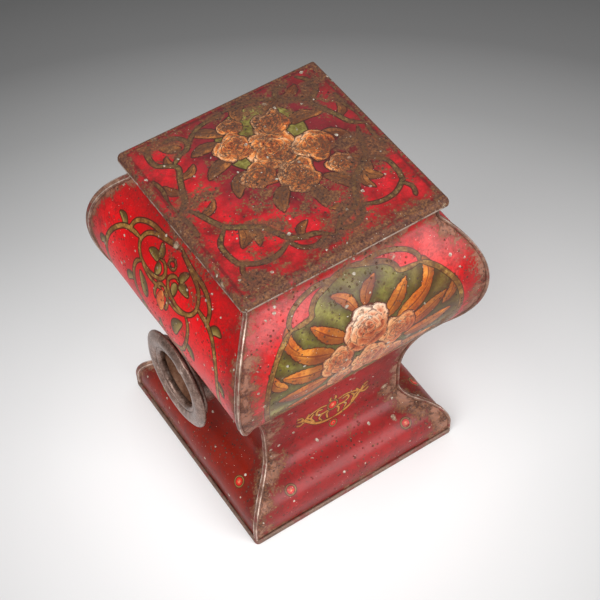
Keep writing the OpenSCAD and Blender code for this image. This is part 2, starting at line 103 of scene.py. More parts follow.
class Finish:
    """The node tree of one material, or of the world. Its methods add nodes and return their wires."""

    def __init__(self, name, owner=None):
        self.material = owner or bpy.data.materials.new(name)
        self.material.use_nodes = True
        self.tree = self.material.node_tree
        self.tree.nodes.clear()
        self.millimetres = None

    def node(self, kind, settings=None, sockets=None, output=0):
        """Adds a node of that kind, sets it, then joins wires or numbers to its sockets."""
        made = self.tree.nodes.new("ShaderNode" + kind)
        for name, value in (settings or {}).items():
            if name == "stops":
                ramp = made.color_ramp
                while len(ramp.elements) < len(value):
                    ramp.elements.new(0.5)
                for element, (place, *colour) in zip(ramp.elements, value):
                    element.position, element.color = place, ink(*colour)
            else:
                setattr(made, name, value)
        for name, value in (sockets or {}).items():
            if isinstance(value, Wire):
                self.tree.links.new(value.socket, made.inputs[name])
            else:
                made.inputs[name].default_value = value
        return Wire(self, made.outputs[output]) if made.outputs else None

    def place(self, axis=None):
        """Object coordinates in millimetres, or the one along an axis: 0, 1 or 2."""
        if not self.millimetres:
            self.millimetres = self.node("VectorMath", {"operation": "SCALE"}, {
                0: self.node("TexCoord", output="Object"), "Scale": 1000.0})
        if axis is None:
            return self.millimetres
        return self.node("SeparateXYZ", None, {0: self.millimetres}, axis)

    def rise(self, value, low, high):
        """0 below low, 1 above high, with a soft step between. high may be the lower one."""
        return self.node("MapRange", {"interpolation_type": "SMOOTHSTEP"},
                         {"Value": value, "From Min": low, "From Max": high})

    def noise(self, scale, detail=3.0, rough=0.5, distortion=0.0):
        return self.node("TexNoise", None, {"Vector": self.place(), "Scale": scale, "Detail": detail,
                                            "Roughness": rough, "Distortion": distortion})

    def cells(self, scale):
        """Distance to the nearest of points that lie scattered through space."""
        return self.node("TexVoronoi", None, {"Vector": self.place(), "Scale": scale})

    def mix(self, factor, first, second):
        """The first colour where factor is 0 and the second where it is 1."""
        first, second = (ink(*c) if isinstance(c, tuple) else c for c in (first, second))
        return self.node("Mix", {"data_type": "RGBA"}, {0: factor, 6: first, 7: second}, output=2)

    def ramp(self, factor, *stops):
        """The colour at factor between stops of (place, red, green, blue)."""
        return self.node("ValToRGB", {"stops": stops}, {0: factor})

    def bump(self, height, distance):
        return self.node("Bump", None, {"Height": height, "Distance": distance, "Strength": 1.0})

    def surface(self, sockets):
        """A Principled shader with these sockets becomes the surface."""
        shader = self.node("BsdfPrincipled", None, sockets)
        self.node("OutputMaterial", None, {"Surface": shader})
        return self.material


def shown(name, points, faces, *materials, hidden=()):
    """A new smooth piece from points in metres and a list of faces. Its hidden faces come last and
    take the second material."""
    mesh = bpy.data.meshes.new(name)
    mesh.from_pydata(np.asarray(points, float).reshape(-1, 3).tolist(), [], faces + list(hidden))
    mesh.polygons.foreach_set("use_smooth", [True] * len(mesh.polygons))
    mesh.polygons.foreach_set("material_index", [0] * len(faces) + [1] * len(hidden))
    for material in materials:
        mesh.materials.append(material)
    piece = bpy.data.objects.new(name, mesh)
    bpy.context.scene.collection.objects.link(piece)
    return piece


paper = Finish("paper")
across, along = paper.place(0), paper.place(1)
away = across * math.sin(azimuth) + along * math.cos(azimuth) - 10
beside = (across * math.cos(azimuth) - along * math.sin(azimuth)) * 0.7
away = away.math("MAXIMUM", away * -0.6)
painted_falloff_distance = (away * away + beside * beside).math("SQRT")
ramp_length = 400
# Painted light falloff: white close to the lantern, turning grey with distance, faster away from the camera
# than to the sides
tone = paper.ramp(painted_falloff_distance / ramp_length, *[(gap / ramp_length, grey, grey, grey) for gap, grey in (
    (30, 255), (60, 250), (90, 229), (150, 192), (210, 152), (270, 113), (330, 95))])
paper.surface({"Base Color": tone, "Roughness": 0.9, "Specular IOR Level": 0.1})
corners = np.array([(-1, -1, 0), (1, -1, 0), (1, 1, 0), (-1, 1, 0)])
floor = shown("floor", 3.0 * corners, [(0, 1, 2, 3)], paper.material)


def softbox(name, place, towards, size, power):
    """A square lamp at place that faces towards."""
    data = bpy.data.lights.new(name, "AREA")
    data.shape, data.size, data.energy = "SQUARE", size, power
    back = np.array(place, float) - towards
    back /= np.linalg.norm(back)
    side = np.cross((0, 0, 1), back)
    side /= np.linalg.norm(side)
    placed(name, data, place, side, np.cross(back, side))


softbox("softbox_left", (-0.9, -0.35, 1.3), (0, 0, 0.1), 1.1, 16)
softbox("softbox_front", (0.45, -1.2, 0.65), (0, 0, 0.1), 0.9, 12)
sky = Finish("sky", bpy.context.scene.world or bpy.data.worlds.new("sky"))
bpy.context.scene.world = sky.material
sky.node("OutputWorld", None, {"Surface": sky.node("Background", None, {
    "Color": (1, 1, 1, 1), "Strength": 0.5})})
bpy.context.scene.view_settings.view_transform = "Standard"


# ---- Front and back panels ----
# Two of the four walls: thin tinplate, printed and varnished flat, then bent to the waisted outline.
# Each shows a green cartouche with a spray of roses, a scroll on the waist and two jewels on the foot.
foot, waist, bulge, neck = 56.3, 37.5, 64.0, 47.0  # half widths
foot_low, foot_z, waist_z, bulge_z, neck_top = 1.2, 9.0, 45.0, 122.0, 167.0
sheet = 0.8


def casing_outline():
    """The casing's wall as tangent arcs: half width, height, and outward normal, at equal steps."""
    round_r, hollow_r, bulge_r, cove_r = 15.0, 11.5, 50.5, 5.75
    round_c = np.array([foot - round_r, foot_z])
    hollow_x = waist + hollow_r
    hollow_rise = math.sqrt((round_r + hollow_r) ** 2 - (hollow_x - round_c[0]) ** 2)
    hollow_c = np.array([hollow_x, foot_z + hollow_rise])
    turn_1 = math.atan2(*(hollow_c - round_c)[::-1])
    inset = waist - bulge + bulge_r
    flare_r = (inset ** 2 + (bulge_z - waist_z) ** 2 - bulge_r ** 2) / (2 * (bulge_r - inset))
    flare_c = np.array([waist + flare_r, waist_z])
    bulge_c = np.array([bulge - bulge_r, bulge_z])
    turn_2 = math.atan2(*(flare_c - bulge_c)[::-1])
    cove_x = neck + cove_r
    cove_c = np.array([cove_x, bulge_z + math.sqrt((bulge_r + cove_r) ** 2 - (cove_x - bulge_c[0]) ** 2)])
    turn_3 = math.atan2(*(cove_c - bulge_c)[::-1])
    line, outward = [np.array([[foot, foot_low]])], [np.array([[1.0, 0.0]])]
    for centre, radius, start, end, hollow in (
            (round_c, round_r, 0, turn_1, False), (hollow_c, hollow_r, turn_1 + math.pi, math.pi, True),
            (flare_c, flare_r, math.pi, math.pi + turn_2, True), (bulge_c, bulge_r, turn_2, turn_3, False),
            (cove_c, cove_r, turn_3 + math.pi, math.pi, True)):
        angle = np.linspace(start, end, 160)
        ray = np.stack([np.cos(angle), np.sin(angle)], 1)
        line.append(centre + radius * ray)
        outward.append(-ray if hollow else ray)
    line.append(np.array([[neck, neck_top]]))
    outward.append(np.array([[1.0, 0.0]]))
    line, outward = np.concatenate(line), np.concatenate(outward)
    length = np.concatenate([[0], np.cumsum(np.hypot(*np.diff(line, axis=0).T))])
    fresh = np.concatenate([[True], np.diff(length) > 1e-6])
    return length[fresh], line[fresh], outward[fresh]


run, outline, outline_normal = casing_outline()


def on_outline(at):
    """Half width, height and normal where the outline's length is at."""
    pick = [np.interp(at, run, column) for column in (*outline.T, *outline_normal.T)]
    size = np.hypot(pick[2], pick[3])
    return pick[0], pick[1], pick[2] / size, pick[3] / size


def grid_faces(rows, columns, wrap=False):
    """Quads between neighbours on a grid of rows by columns, whose last column may join the first."""
    i, j = np.meshgrid(np.arange(rows - 1), np.arange(columns if wrap else columns - 1), indexing="ij")
    k = (j + 1) % columns
    return np.stack([i * columns + j, i * columns + k, (i + 1) * columns + k, (i + 1) * columns + j],
                    -1).reshape(-1, 4)


def ripple(x, y, seed):
    """Shallow unevenness of hand-bent tin: a sum of long slanted waves, between about -1 and 1."""
    random = np.random.default_rng(seed)
    total = np.zeros_like(x)
    for size in (70, 45, 31, 22, 15):
        angle, phase = random.uniform(0, 2 * math.pi, 2)
        total += size / 70 * np.sin(2 * math.pi * (x * math.cos(angle) + y * math.sin(angle)) / size + phase)
    return total / 2.2


def rim(fine, coarse):
    """Polygons between a loop of points and a loop with a quarter as many: four steps to one."""
    step = np.arange(len(coarse))
    nearby = [fine[(4 * step + k) % len(fine)] for k in range(5)]
    return np.stack([coarse[(step + 1) % len(coarse)], coarse] + nearby, -1)


def border_of(rows, columns):
    """The indices round the edge of a grid, in order."""
    i, j = np.arange(rows - 1), np.arange(columns - 1)
    return np.concatenate([j, columns - 1 + i * columns, rows * columns - 1 - j, (rows - 1 - i) * columns])


def two_skins(name, outer, inner, material, inside):
    """A sheet with a fine outer skin and an inner skin of a quarter as many steps, joined round."""
    (rows, columns), (low_rows, low_columns) = outer.shape[:2], inner.shape[:2]
    first = rows * columns
    hidden = (grid_faces(low_rows, low_columns) + first).tolist()
    hidden += rim(border_of(rows, columns), border_of(low_rows, low_columns) + first).tolist()
    return shown(name, np.concatenate([outer.reshape(-1, 3), inner.reshape(-1, 3)]) / 1000,
                 grid_faces(rows, columns)[:, ::-1].tolist(), material, inside, hidden=hidden)


def both_skins(values, between=()):
    """Values on a fine grid, what lies between the skins, and the values on the coarser grid."""
    return np.concatenate([values.ravel(), between, values[::4, ::4].ravel()])


def wall_points(part, along, turn, seed, offset=0.0):
    """Points of a wall at parts of its half width and places along its outline, on the face that
    turn gives, moved out by offset; and the distances across."""
    half, height, out, up = on_outline(along)
    across = half * part
    lift = offset + 0.22 * ripple(across, along, seed) * (1 - part ** 4)
    depth, c, s = half + out * lift, math.cos(turn), math.sin(turn)
    wide = across * depth / half if offset else across
    return np.stack([c * wide - s * depth, s * wide + c * depth, height + up * lift], -1), across


def smooth_line(knots, steps=14):
    """A Catmull-Rom curve through the knots."""
    knots = np.asarray(knots, float)
    ends = np.concatenate([[2 * knots[0] - knots[1]], knots, [2 * knots[-1] - knots[-2]]])
    t = np.linspace(0, 1, steps, endpoint=False)[:, None]
    parts = [0.5 * ((2 * b) + (c - a) * t + (2 * a - 5 * b + 4 * c - d) * t ** 2
                    + (3 * b - a - 3 * c + d) * t ** 3)
             for a, b, c, d in zip(ends, ends[1:], ends[2:], ends[3:])]
    return np.concatenate(parts + [knots[-1:]])


far_off, margin = 99.0, 14


def drawn(x, y, strokes, leaves=False):
    """Distance in millimetres to the nearest edge of the strokes, negative inside them, and the
    place across that stroke from -1 to 1. A stroke is (half width, knot, knot, ...), with an even
    width and thin ends, or for leaves with the widest place in its middle."""
    best, tone = np.full(x.shape, far_off), np.zeros(x.shape)
    for width, *knots in strokes:
        line = smooth_line(knots)
        t = np.linspace(0, 1, len(line))
        widths = width * (np.sin(math.pi * t ** 0.85) ** 0.8 if leaves
                          else np.minimum(1, 0.35 + 6 * np.minimum(t, 1 - t)))
        (left, low), (right, high) = line.min(axis=0) - margin, line.max(axis=0) + margin
        near = (x > left) & (x < right) & (y > low) & (y < high)
        px, py = x[near][:, None], y[near][:, None]
        (ax, ay), (bx, by) = line[:-1].T, line[1:].T
        dx, dy = bx - ax, by - ay
        u = np.clip(((px - ax) * dx + (py - ay) * dy) / (dx * dx + dy * dy + 1e-9), 0, 1)
        gap = np.hypot(px - ax - u * dx, py - ay - u * dy)
        wide = widths[:-1] + u * np.diff(widths)
        k = np.argmin(gap - wide, axis=1)[:, None]
        take = lambda v: np.take_along_axis(v, k, 1)[:, 0]
        edge = take(gap - wide)
        turned = np.sign(take((px - ax) * dy - (py - ay) * dx))
        side = turned * take(gap) / np.maximum(take(wide), 0.1)
        won = edge < best[near]
        best[near] = np.where(won, edge, best[near])
        tone[near] = np.where(won, side, tone[near])
    return best, tone


def enclosed(x, y, loop):
    """True where a point lies inside the closed loop, by counting crossings to its right."""
    inside = np.zeros(x.shape, bool)
    for (ax, ay), (bx, by) in zip(loop, np.roll(loop, -1, axis=0)):
        crosses = (ay > y) != (by > y)
        inside ^= crosses & (x < ax + (y - ay) * (bx - ax) / (by - ay + 1e-12))
    return inside


def roses(x, y, blooms):
    """Full-blown roses, each (centre x, centre y, radius, turn): rings of overlapping round petals,
    painted from the outermost ring inwards. Returns the distance to the nearest bloom's edge, the
    tone, from 0 at a petal's root to 1 at its lip, and the distance inside the petal's own edge."""
    random = np.random.default_rng(7)
    best, tone, fold = np.full(x.shape, far_off), np.zeros(x.shape), np.full(x.shape, 9.0)
    rings = ((5, 0.56, 0.52), (5, 0.40, 0.42), (4, 0.24, 0.34), (3, 0.12, 0.22), (1, 0.0, 0.10))
    for cx, cy, radius, turn in blooms:
        for ring, (count, away, wide) in enumerate(rings):
            for k in range(count):
                angle = turn + 2 * math.pi * (k + 0.5 * ring) / count + random.uniform(-0.2, 0.2)
                c, s = math.cos(angle), math.sin(angle)
                px, py = x - cx - radius * away * c, y - cy - radius * away * s
                edge = np.hypot((px * c + py * s) / 0.86, py * c - px * s) - radius * wide
                lit = ((y - cy) * 0.6 - (x - cx) * 0.5) / radius
                shade = 0.92 - 0.95 * np.clip(-edge / (radius * wide), 0, 1) ** 0.6 + 0.3 * lit \
                    + random.uniform(-0.14, 0.14)
                tone, fold = np.where(edge < 0, shade, tone), np.where(edge < 0, -edge, fold)
                best = np.minimum(best, edge)
    return best, tone, fold


def written(piece, **values):
    """Stores arrays of numbers on the piece's points, for its material to read."""
    for name, value in values.items():
        layer = piece.data.attributes.new(name, "FLOAT", "POINT")
        layer.data.foreach_set("value", np.ascontiguousarray(value, np.float32))


def read(finish, name):
    return finish.node("Attribute", {"attribute_name": name}, output="Fac")


bare_inside = Finish("bare_inside")
stain = bare_inside.noise(0.05, 5.0, 0.6)
grain = bare_inside.noise(0.9, 3.0, 0.6)
bare_inside.surface({
    "Base Color": bare_inside.ramp(stain * 0.8 + grain * 0.2, (0.3, 92, 74, 60), (0.5, 134, 120, 104),
                                   (0.7, 160, 150, 136)),
    "Metallic": 0.75, "Roughness": bare_inside.rise(stain, 0.3, 0.7) * 0.25 + 0.38,
    "Normal": bare_inside.bump(grain, 0.00006)})


def worn_from(seam, at, share):
    """How far a place on a wall is from where hands and damp wear it: the seams, the foot, the neck
    and most of all the upper corners. Near the neck the same distance places the painted shadow under the
    lid."""
    top = run[-1] - at
    return np.minimum.reduce([seam * share, at * 0.8 + 1.0, top * 0.5, np.hypot(seam, top * 0.8) * 0.4])


def aged(finish, colour, edge, raised, tan, exposed, patches):
    """Lays age over a printed colour: grime, brown where the print is rubbed off along the edges, in
    patches and on what is raised, darker print round the rubbed places that is partly painted shadow, dark
    pits, pale chips and fine dust. Returns colour, wear, height."""
    near_edge = 4.6
    broad = finish.noise(0.028, 4.0, 0.55)
    ragged = finish.noise(0.17, 6.0, 0.70, 0.4)
    fine = finish.noise(0.9, 6.0, 0.75)
    grime = finish.rise(ragged * 0.5 + fine * 0.5, 0.46, 0.64)
    colour = finish.mix(grime * 0.45, colour, (84, 34, 28))
    reach = edge - (broad - 0.5) * 15 - (ragged - 0.5) * 15 - (fine - 0.5) * 9
    rubbed = finish.rise(reach, near_edge, near_edge - 2.6)
    patch = finish.rise(broad * 0.40 + ragged * 0.36 + fine * 0.24 + raised * 0.085 + exposed * 0.08,
                        patches - 0.02, patches + 0.02)
    rubbed = rubbed.math("MAXIMUM", patch)
    rust = finish.ramp(fine * 0.75 + ragged * 0.25, (0.30, 44, 30, 26), (0.42, 76, 50, 42),
                       (0.51, 108, 74, 56), (0.60, 146, 98, 58), (0.70, 176, 146, 122))
    rust = finish.mix(finish.rise(edge, 6, 1) * finish.rise(ragged, 0.45, 0.58) * tan, rust, (184, 136, 116))
    # Grease and smoke darken the print next to the rubbed places; at the top of the walls, under the lid's
    # edge, this darkening is painted shadow
    smoke_and_shadow = finish.rise(reach, near_edge + 9, near_edge - 1)
    colour = finish.mix(smoke_and_shadow * 0.5, colour, (78, 26, 22))
    held = finish.rise(fine * 0.7 + ragged * 0.3, 0.49, 0.55) * (raised * 0.75 if raised else 0.12)
    colour = finish.mix(rubbed * 0.95 * (1 - held), colour, rust)
    dotted = finish.rise(finish.noise(0.055, 2.0), 0.34, 0.58)
    pit = finish.rise(finish.cells(0.42) + (fine - 0.5) * 0.6, 0.26, 0.15) * dotted
    pit = pit.math("MAXIMUM", finish.rise(finish.cells(0.95) + (ragged - 0.5) * 0.6, 0.15, 0.05) * dotted)
    rusty = finish.mix(finish.rise(fine, 0.4, 0.6), (50, 36, 30), (112, 88, 74))
    colour = finish.mix(pit * 0.82, colour, rusty)
    chosen = finish.rise(finish.noise(0.13, 1.0), 0.50, 0.53)
    chip = finish.rise(finish.cells(0.19) + (ragged - 0.5) * 0.6, 0.135, 0.11) * chosen
    pale = finish.mix(finish.rise(fine, 0.45, 0.6), (150, 134, 116), (226, 218, 204))
    colour = finish.mix(chip * 0.9, colour, pale)
    blot = finish.rise(finish.cells(0.06) + (ragged - 0.5) * 0.5 + (fine - 0.5) * 0.3, 0.085, 0.06)
    colour = finish.mix(blot * 0.85, colour, finish.ramp(fine, (0.4, 112, 84, 68), (0.6, 206, 184, 156)))
    dust = finish.rise(finish.cells(0.62), 0.12, 0.07) * finish.rise(finish.noise(0.35, 1.0), 0.54, 0.60)
    colour = finish.mix(dust * 0.85, colour, (226, 214, 196))
    wear = rubbed.math("MAXIMUM", pit).math("MAXIMUM", chip)
    height = (1 - rubbed) * 0.5 + fine * rubbed * 0.8 - pit * 0.6 + chip * 0.2 + fine * 0.12
    return colour, wear, height


def print_red(finish, height_mm, foot):
    """The printed ground: bright red above, and the foot's darker colour on the waist and below."""
    cloud = finish.noise(0.03, 3.0, 0.5)
    bright = finish.ramp(cloud, (0.32, 204, 10, 16), (0.5, 234, 14, 22), (0.7, 242, 38, 42))
    tint = finish.rise(cloud, 0.3, 0.7) * 0.45 + 0.75
    deep = finish.mix(tint, (40, 10, 10), foot)
    return finish.mix(finish.rise(height_mm, 84, 102), deep, bright)


def gilding(finish, low=None):
    """The print's gold: a dull ochre with olive and brown in it, brighter on the waist."""
    if low:
        return finish.mix(finish.rise(low, 90, 78) * 0.7, gilding(finish), (210, 142, 66))
    return finish.ramp(finish.noise(0.35, 4.0, 0.65), (0.32, 96, 64, 32), (0.5, 144, 100, 46),
                       (0.66, 182, 138, 72))


def lined(finish, colour, distance, fill, line=None, half=0.22):
    """Lays a drawn shape over a colour: its fill, and a dark contour just outside its edge."""
    colour = finish.mix(finish.rise(distance, 0.10, -0.10), colour, fill)
    contour = finish.rise((distance - half * 0.7).math("ABSOLUTE"), half + 0.10, half - 0.08)
    return finish.mix(contour * 0.88, colour, line or (62, 44, 22))


def veined(finish, distance, side, colour, dark):
    """A leaf's colour with a darker half and a dark midrib; side is the place across it."""
    colour = finish.mix(finish.rise(side, -0.1, 0.5) * 0.55, colour, dark)
    rib = finish.rise(side.math("ABSOLUTE"), 0.16, 0.05) * finish.rise(distance, -0.5, -1.0)
    return finish.mix(rib * 0.8, colour, dark)


def jewelled(finish, colour, distance):
    """A printed jewel: a red stone with a light in it, in a gold ring; distance is from its centre."""
    for radius, soft, share, paint in (
            (3.4, 0.3, 1, (70, 46, 28)), (3.0, 0.3, 0.9, (160, 112, 60)), (2.4, 0.2, 1, (60, 24, 16)),
            (2.1, 0.2, 1, (224, 36, 28)), (1.3, 1.0, 1, (252, 160, 110))):
        colour = finish.mix(finish.rise(distance, radius, radius - soft) * share, colour, paint)
    return colour


def tin_print(name, paint, foot=(158, 34, 34), shine=0.32, patches=0.60, embossed=False):
    """A printed and varnished tin finish; paint lays the drawn ornament over the red ground."""
    finish = Finish(name)
    height_mm = finish.place(2)
    colour = paint(finish, print_red(finish, height_mm, foot))
    if embossed:
        raised, tan, under = read(finish, "raised"), 0.0, 0.0
    else:
        raised, tan, under = 0.0, 0.55, finish.rise((height_mm - 98).math("ABSOLUTE"), 20, 5)
    colour, wear, height = aged(finish, colour, read(finish, "edge"), raised, tan, under, patches)
    if embossed:
        # The lid's lower edge is polished by handling
        handled = finish.rise(height_mm, 169.3, 168.8) * finish.rise(finish.noise(0.2, 4.0, 0.7), 0.40, 0.52)
        colour = finish.mix(handled * 0.7, colour, (190, 170, 156))
    rough = finish.noise(0.12, 3.0) * 0.16 + 0.27
    return finish.surface({
        "Base Color": colour, "Roughness": rough + wear * 0.30, "Metallic": wear * 0.2,
        "Normal": finish.bump(height, 0.00014), "Specular IOR Level": shine})


def cartouche_paint(finish, colour):
    """Green field, leaves, roses and gold border, waist scroll and foot jewels."""
    field, leaf, rose = read(finish, "field"), read(finish, "leaf"), read(finish, "rose")
    mottle, streak = finish.noise(0.09, 4.0, 0.6), finish.noise(0.5, 5.0, 0.7)
    leaf, rose = leaf + (streak - 0.5) * 2.2, rose + (streak - 0.5) * 1.2
    green = finish.ramp(mottle * 0.8 + streak * 0.2, (0.32, 92, 82, 26), (0.5, 134, 126, 48),
                        (0.66, 168, 158, 88))
    x, z = finish.place(0), finish.place(2)
    green = finish.mix(finish.rise(x, 12, 36) * 0.7, green, finish.mix(mottle, (62, 40, 22), (136, 96, 44)))
    # The green darkens to brown round the flowers and at the foot of the field
    shade = finish.rise(rose.math("MINIMUM", leaf), 6.0, 0.0)
    green = finish.mix(shade * 0.75, green, (60, 42, 28))
    # Painted sheen: high on the bulge the print is lightened towards pink in noisy patches
    painted_sheen = finish.rise(z, 118, 145) * finish.rise(finish.noise(0.045, 5.0, 0.65), 0.40, 0.60)
    colour = finish.mix(painted_sheen * 0.42, colour, (240, 116, 112))
    colour = finish.mix(finish.rise(field, 0.1, -0.1), colour, green)
    tone, side = mottle * 0.6 + streak * 0.4, read(finish, "leaf_tone")
    amber = finish.ramp(tone, (0.34, 146, 58, 26), (0.46, 204, 104, 34), (0.60, 230, 146, 58))
    amber = finish.mix(finish.rise(finish.noise(0.05, 1.0), 0.44, 0.56) * 0.7, amber,
                       finish.mix(tone, (84, 34, 20), (172, 98, 44)))
    colour = lined(finish, colour, leaf, veined(finish, leaf, side, amber, (112, 46, 26)), (74, 34, 20))
    blush = finish.ramp(read(finish, "petal") + (streak - 0.5) * 0.7, (0.0, 132, 54, 36),
                        (0.25, 196, 108, 78), (0.5, 240, 184, 148), (0.8, 252, 226, 200))
    # The lower blooms are orange, the big upper one pale
    blush = finish.mix(finish.rise(z, 143, 128) * 0.75, blush, finish.ramp(
        read(finish, "petal") + (streak - 0.5) * 0.7, (0.0, 122, 46, 22), (0.35, 196, 94, 32),
        (0.8, 236, 156, 70)))
    blush = finish.mix(finish.rise(read(finish, "fold"), 0.9, 0.3) * 0.8, blush, (104, 46, 34))
    colour = lined(finish, colour, rose, blush, (90, 40, 30), 0.3)
    colour = lined(finish, colour, read(finish, "gold"), gilding(finish, z), half=0.18)
    return jewelled(finish, colour, read(finish, "jewel"))


border = [(32, 163.7), (35.3, 161.8), (40.3, 157), (45.2, 150), (48.6, 142.7), (50.3, 133),
          (49.7, 122), (46, 109), (38, 99), (25, 94), (12, 93.5), (0, 96)]
lobe = [(32, 163.7), (26.5, 163.9), (22, 164.9), (20.6, 168), (17, 171.4), (11.4, 173.4),
        (6.5, 175.2), (0, 177)]
loop = [(32, 163.7), (32.4, 166.6), (29.8, 170.2), (26.2, 172.6), (21.2, 174.5), (15.5, 175.6),
        (10.5, 175.4), (6.5, 175.2)]
scroll = [(0.8, (0, 44), (5, 44.6), (9.5, 46.6), (13, 50.2), (16, 53.8), (20, 55.6)),
          (0.65, (2.4, 52), (6, 51.6), (9, 53.2), (8.2, 55.8), (5.4, 55)),
          (0.6, (3, 46), (3.4, 49.5), (1.8, 51.6)), (0.6, (10.4, 48.6), (12.2, 52.6), (10.6, 55.4)),
          (0.7, (15.5, 53.2), (18.2, 51.8), (20.5, 53.2)), (0.65, (16.4, 54.4), (17.6, 57.2), (20, 58.2)),
          (0.55, (2.6, 56.6), (7, 57.6), (11.6, 56.4), (16, 54.2)),
          (0.5, (6, 46.2), (7.6, 49.4), (5.6, 51.8)), (0.5, (12.4, 52.4), (14.4, 55), (13.2, 57.6)),
          (0.6, (0, 58), (1.6, 59.4), (1.2, 61.8))]
half_gold = [(1.15, *border), (1.1, *lobe), (0.95, *loop)] + scroll
spray = [(3.6, (9, 147), (17, 153), (24, 161)), (4.2, (16, 143), (26, 147), (36, 154)),
         (4.2, (19, 136), (30, 138), (42, 144)), (4, (20, 129), (32, 128), (45, 131)),
         (4, (16, 121), (27, 118), (40, 118)), (3.8, (9, 114), (19, 109), (31, 107)),
         (3.2, (1, 112), (6, 105), (14, 100)), (2.8, (2, 158), (5, 164), (11, 169)),
         (2.8, (30, 150), (35, 158), (34, 166)), (2.6, (40, 137), (45, 142), (47, 150))]
blooms = [(-13, 122, 7, 1.1), (13, 121, 7.5, 2), (-15, 136, 8.5, 2.6), (16, 137, 9, 0.8),
          (1, 127, 9.5, 0.4), (1, 147, 12, 0.3)]


def steps(*spans):
    """Even steps over each span of (start, end, count), and the end of the last one."""
    return np.concatenate([np.linspace(*span, endpoint=span is spans[-1]) for span in spans])


jewel_across, jewel_along = 33.5, 20.5
# Steps are finest where the print has most detail. Their number is a multiple of four
fine_along = steps((0, 42, 36), (42, 64, 44), (64, 88, 20), (88, 178, 196), (178, run[-1], 13))
fine_part = steps((-1, -0.82, 8), (-0.82, 0.82, 208), (0.82, 1, 9))
for name, turn, seed in (("front_panel", math.pi, 3), ("back_panel", 0.0, 4)):
    part, along = np.meshgrid(fine_part, fine_along)
    outer, across = wall_points(part, along, turn, seed)
    inner, _ = wall_points(part[::4, ::4], along[::4, ::4], turn, seed, -sheet)
    piece = two_skins(name + "_print", outer, inner, tin_print(name + "_print", cartouche_paint),
                      bare_inside.material)
    # Seen from outside, the print's x runs to the right
    x, s = both_skins(-across), both_skins(along)
    ax = np.abs(x)
    edge_line = np.concatenate([smooth_line(border[::-1]), smooth_line(lobe)])
    ring = np.concatenate([edge_line, edge_line[::-1] * (-1, 1)])
    gold, _ = drawn(ax, s, half_gold)
    away_from_line, _ = drawn(ax, s, [(0.0, *border), (0.0, *lobe)])
    leaf, leaf_tone = drawn(ax, s, spray, leaves=True)
    bend = 1.3 * ripple(4 * x, 4 * s, 23), 1.3 * ripple(4 * x, 4 * s, 24)
    rose, petal, fold = roses(x + bend[0], s + bend[1], blooms)
    stones = np.min([np.hypot(ax - jewel_across, s - jewel_along), np.hypot(x / 1.05, (s - 54.5) / 1.35),
                     np.hypot(x, s - 39.6) * 1.25], axis=0)
    half = np.interp(s, run, outline[:, 0])
    written(piece, gold=gold, field=np.where(enclosed(x, s, ring), -1, 1) * away_from_line, leaf=leaf,
            leaf_tone=leaf_tone, rose=rose, petal=petal, fold=fold, jewel=stones,
            edge=worn_from(half - ax, s, 0.5))
    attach(piece, "case")
    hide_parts(name)


# ---- Lens and lamp panels ----
# The two walls at the sides, of the same printed tinplate: a vine of gold scrolls round a rosebud,
# and jewels on the foot. The wall on the left is cut for the lens tube, which is soldered into it.
lens_z, bore = 73.0, 16.3
# Half sizes of the square that is cut out, and of the one round it that bends to fit
patch, patch_outer = 12.0, 22.0


def bored(part, along, waist_half):
    """Moves the grid's points round the bore so that a square of cells becomes a circle: the
    distance from its middle blends from the bore's radius to its own. Returns across, along, and
    the cells that fall inside the bore."""
    across = part * np.interp(along, run, outline[:, 0])
    rise = np.interp(along, run, outline[:, 1]) - lens_z
    box = np.maximum(np.abs(part) * waist_half, np.abs(rise))
    t = np.clip((box - patch) / (patch_outer - patch), 0, 1)
    far = np.hypot(across, rise)
    scale = np.where(box < patch_outer, ((1 - t) * bore + t * far) / np.maximum(far, 1e-6), 1)
    low, high = np.searchsorted(outline[:, 1], (30, 118))
    moved = np.interp(lens_z + rise * scale, outline[low:high, 1], run[low:high])
    cell = np.maximum.reduce([box[:-1, :-1], box[1:, :-1], box[:-1, 1:], box[1:, 1:]])
    return across * scale, np.where(box < patch_outer, moved, along), cell <= patch + 1e-6


def vine_paint(finish, colour):
    """Gold scrolls with olive leaves and an orange bud, and foot jewels."""
    mottle = finish.noise(0.12, 4.0, 0.6)
    leaf = finish.ramp(read(finish, "leaf_tone") * 0.25 + mottle, (0.3, 96, 74, 36), (0.5, 132, 108, 52),
                       (0.7, 158, 134, 76))
    colour = lined(finish, colour, read(finish, "leaf") - 0.35, leaf, (44, 34, 16), 0.3)
    bud = finish.ramp(read(finish, "bud_tone") * 0.3 + mottle, (0.2, 190, 66, 34), (0.5, 228, 112, 52),
                      (0.8, 244, 160, 84))
    colour = lined(finish, colour, read(finish, "bud"), bud, (96, 34, 20), 0.2)
    colour = lined(finish, colour, read(finish, "gold"), gilding(finish), (44, 34, 16), 0.3)
    return jewelled(finish, colour, read(finish, "jewel"))


